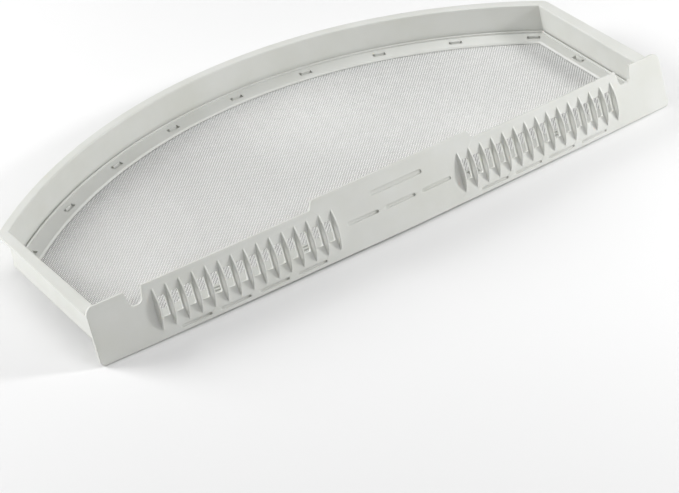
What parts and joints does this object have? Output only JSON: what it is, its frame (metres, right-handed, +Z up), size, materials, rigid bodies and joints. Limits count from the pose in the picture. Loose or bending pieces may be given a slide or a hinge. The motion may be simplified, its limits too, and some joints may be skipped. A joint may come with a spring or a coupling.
{
  "type": "clothes dryer lint filter",
  "caption": "Shallow D-shaped lint tray: a fine woven screen in a slotted frame, a rimmed wall round it and a long, leaning front plate with upright fins and air windows.",
  "frame": {"origin": "middle of the underside of the object's bounding box, on its left-right centre plane, level with the front plate's lowest edge", "axes": "+X along the front plate, to the right as seen from the front; +Y from the front plate to the curved back; +Z up, square to the screen"},
  "size_m": [0.42, 0.1972, 0.0408],
  "materials": {
    "moulded_plastic": "satin",
    "frame_plastic": "satin",
    "woven_mesh": "plain weave of fine plastic threads"
  },
  "bodies": {
    "root": {"front_plate": "moulded_plastic", "tray_wall": "moulded_plastic", "upper_screen_frame": "frame_plastic", "screen_mesh": "woven_mesh", "lower_screen_frame": "frame_plastic"}
  },
  "joints": []
}
